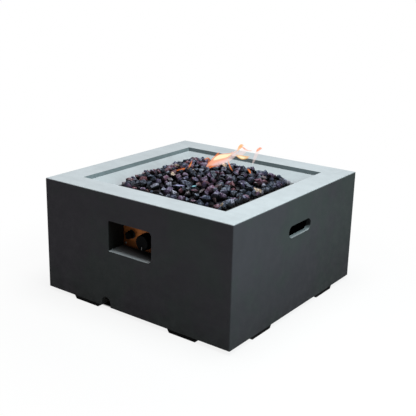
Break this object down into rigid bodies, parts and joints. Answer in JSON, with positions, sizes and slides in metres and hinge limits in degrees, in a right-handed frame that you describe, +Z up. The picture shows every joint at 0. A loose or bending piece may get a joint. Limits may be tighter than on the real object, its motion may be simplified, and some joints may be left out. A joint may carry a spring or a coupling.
{
  "type": "gas fire pit",
  "caption": "Low square gas fire pit: cast concrete body with hand slots, recessed control window, steel burner pan with ring burner, and a mound of lava rock.",
  "frame": {"origin": "centre of the square footprint at floor level, under the foot pads", "axes": "+Z up; -Y is the side with the control window and the hose notch; the hand slots are in the +X and -X sides"},
  "size_m": [0.68, 0.68, 0.3878],
  "materials": {
    "concrete": "matte cast concrete, fine pores",
    "lava": "matte porous lava rock",
    "pad_rubber": "matte black rubber",
    "stainless": "brushed stainless steel",
    "plated_steel": "zinc plated steel",
    "panel_steel": "brushed stainless steel, satin",
    "galvanised": "galvanised sheet",
    "brass": "machined brass",
    "valve_alloy": "die-cast aluminium",
    "tube_metal": "drawn aluminium tube",
    "knob_plastic": "black heat-resistant plastic, satin",
    "pointer_white": "white inlay",
    "igniter_plastic": "black moulded plastic",
    "spark_ceramic": "white ceramic",
    "lead_silicone": "red silicone sleeve",
    "lead_copper": "copper capillary",
    "cell_case": "plain printed can",
    "spring_steel": "spring steel wire"
  },
  "bodies": {
    "fire_pit": {"concrete_body": "concrete", "foot_pads": "pad_rubber", "foot_screws": "plated_steel", "burner_pan": "stainless", "pan_inserts": "brass", "pan_screws": "plated_steel", "ring_burner": "stainless", "burner_locknut": "plated_steel", "air_mixer": "brass", "gas_jet": "brass", "gas_tube": "tube_metal", "supply_pipe": "tube_metal", "tube_nuts": "brass", "heat_shield": "galvanised", "shield_studs": "plated_steel", "shield_spacers": "plated_steel", "shield_nuts": "plated_steel", "probe_plate": "stainless", "electrode_insulator": "spark_ceramic", "electrode_pin": "stainless", "thermocouple_tip": "lead_copper", "igniter_guard": "stainless", "ignition_lead": "lead_silicone", "thermocouple_lead": "lead_copper", "control_box": "galvanised", "wire_grommets": "pad_rubber", "box_screws": "plated_steel", "control_panel": "panel_steel", "panel_screws": "plated_steel", "gas_valve": "valve_alloy", "valve_nut": "plated_steel", "valve_spring": "spring_steel", "igniter_body": "igniter_plastic", "igniter_battery": "cell_case", "igniter_terminal": "brass", "igniter_bezel": "igniter_plastic", "igniter_spring": "spring_steel", "inlet_bracket": "galvanised", "bracket_screws": "plated_steel", "gas_inlet": "brass", "inlet_nut": "brass", "lava_rock_bed": "lava", "lava_rocks": "lava"},
    "knob_push": {"stem_collar": "brass"},
    "control_knob": {"valve_stem": "brass", "control_knob": "knob_plastic", "knob_pointer": "pointer_white"},
    "igniter_button": {"igniter_button": "knob_plastic"}
  },
  "joints": [
    {"name": "knob_push", "type": "slide", "parent": "fire_pit", "child": "knob_push", "axis": [0, 1, 0], "range_m": [0, 0.004], "stiffness_N_per_m": 800, "deforming": ["valve_spring"]},
    {"name": "knob_turn", "type": "hinge", "parent": "knob_push", "child": "control_knob", "pos_m": [0.0075, -0.29, 0.224], "axis": [0, -1, 0], "range_deg": [-180, 0]},
    {"name": "igniter_push", "type": "slide", "parent": "fire_pit", "child": "igniter_button", "axis": [0, 1, 0], "range_m": [0, 0.004], "stiffness_N_per_m": 600, "deforming": ["igniter_spring"]}
  ]
}
